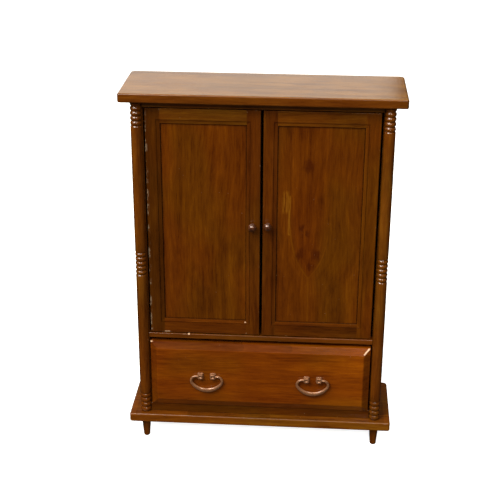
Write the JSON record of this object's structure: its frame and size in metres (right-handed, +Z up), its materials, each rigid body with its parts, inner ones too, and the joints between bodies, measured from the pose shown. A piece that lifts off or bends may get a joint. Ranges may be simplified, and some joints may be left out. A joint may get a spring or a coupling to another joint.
{
  "type": "miniature wardrobe",
  "caption": "Dolls' house wardrobe with framed doors over a long drawer, beaded corner columns, peg feet and overhanging top and base boards.",
  "frame": {"origin": "on the floor, under the middle of the cabinet's bounding box", "axes": "+Z up, -Y out of the doors, +X to the right as seen from in front of the doors"},
  "size_m": [0.11, 0.0348, 0.152],
  "materials": {
    "case_wood": "semi-gloss lacquered walnut stain",
    "door_wood": "semi-gloss lacquered walnut stain",
    "drawer_wood": "semi-gloss lacquered honey-brown stain",
    "inner_wood": "thinly stained, unpolished",
    "pull_metal": "aged, softly polished",
    "knob_metal": "dark antiqued, polished on the crown",
    "brad_steel": "plain drawn wire"
  },
  "bodies": {
    "carcass": {"top_board": "case_wood", "base_board": "case_wood", "carcass_top": "case_wood", "shelf": "case_wood", "carcass_bottom": "case_wood", "back_panel": "inner_wood", "hanging_rail": "inner_wood", "left_side": "case_wood", "right_side": "case_wood", "left_column": "case_wood", "right_column": "case_wood", "front_left_foot": "case_wood", "front_right_foot": "case_wood", "rear_left_foot": "case_wood", "rear_right_foot": "case_wood", "left_door_top_brad": "brad_steel", "left_door_bottom_brad": "brad_steel", "right_door_top_brad": "brad_steel", "right_door_bottom_brad": "brad_steel"},
    "left_door": {"left_door_outer_stile": "door_wood", "left_door_inner_stile": "door_wood", "left_door_top_rail": "door_wood", "left_door_bottom_rail": "door_wood", "left_door_panel": "door_wood", "left_door_knob": "knob_metal"},
    "right_door": {"right_door_outer_stile": "door_wood", "right_door_inner_stile": "door_wood", "right_door_top_rail": "door_wood", "right_door_bottom_rail": "door_wood", "right_door_panel": "door_wood", "right_door_knob": "knob_metal"},
    "drawer": {"drawer_front": "drawer_wood", "drawer_back": "inner_wood", "drawer_bottom": "inner_wood", "drawer_left_side": "inner_wood", "drawer_right_side": "inner_wood", "left_pull_posts": "pull_metal", "right_pull_posts": "pull_metal"},
    "left_bail": {"left_pull_bail": "pull_metal"},
    "right_bail": {"right_pull_bail": "pull_metal"}
  },
  "joints": [
    {"name": "left_door_hinge", "type": "hinge", "parent": "carcass", "child": "left_door", "pos_m": [-0.0434, -0.0119, 0.098], "axis": [0, 0, -1], "range_deg": [0, 110]},
    {"name": "right_door_hinge", "type": "hinge", "parent": "carcass", "child": "right_door", "pos_m": [0.0434, -0.0119, 0.098], "axis": [0, 0, 1], "range_deg": [0, 110]},
    {"name": "drawer_slide", "type": "slide", "parent": "carcass", "child": "drawer", "axis": [0, -1, 0], "range_m": [0, 0.022]},
    {"name": "left_bail_hinge", "type": "hinge", "parent": "drawer", "child": "left_bail", "pos_m": [-0.0221, -0.01655, 0.0312], "axis": [-1, 0, 0], "range_deg": [0, 165]},
    {"name": "right_bail_hinge", "type": "hinge", "parent": "drawer", "child": "right_bail", "pos_m": [0.0221, -0.01655, 0.0312], "axis": [-1, 0, 0], "range_deg": [0, 165]}
  ]
}
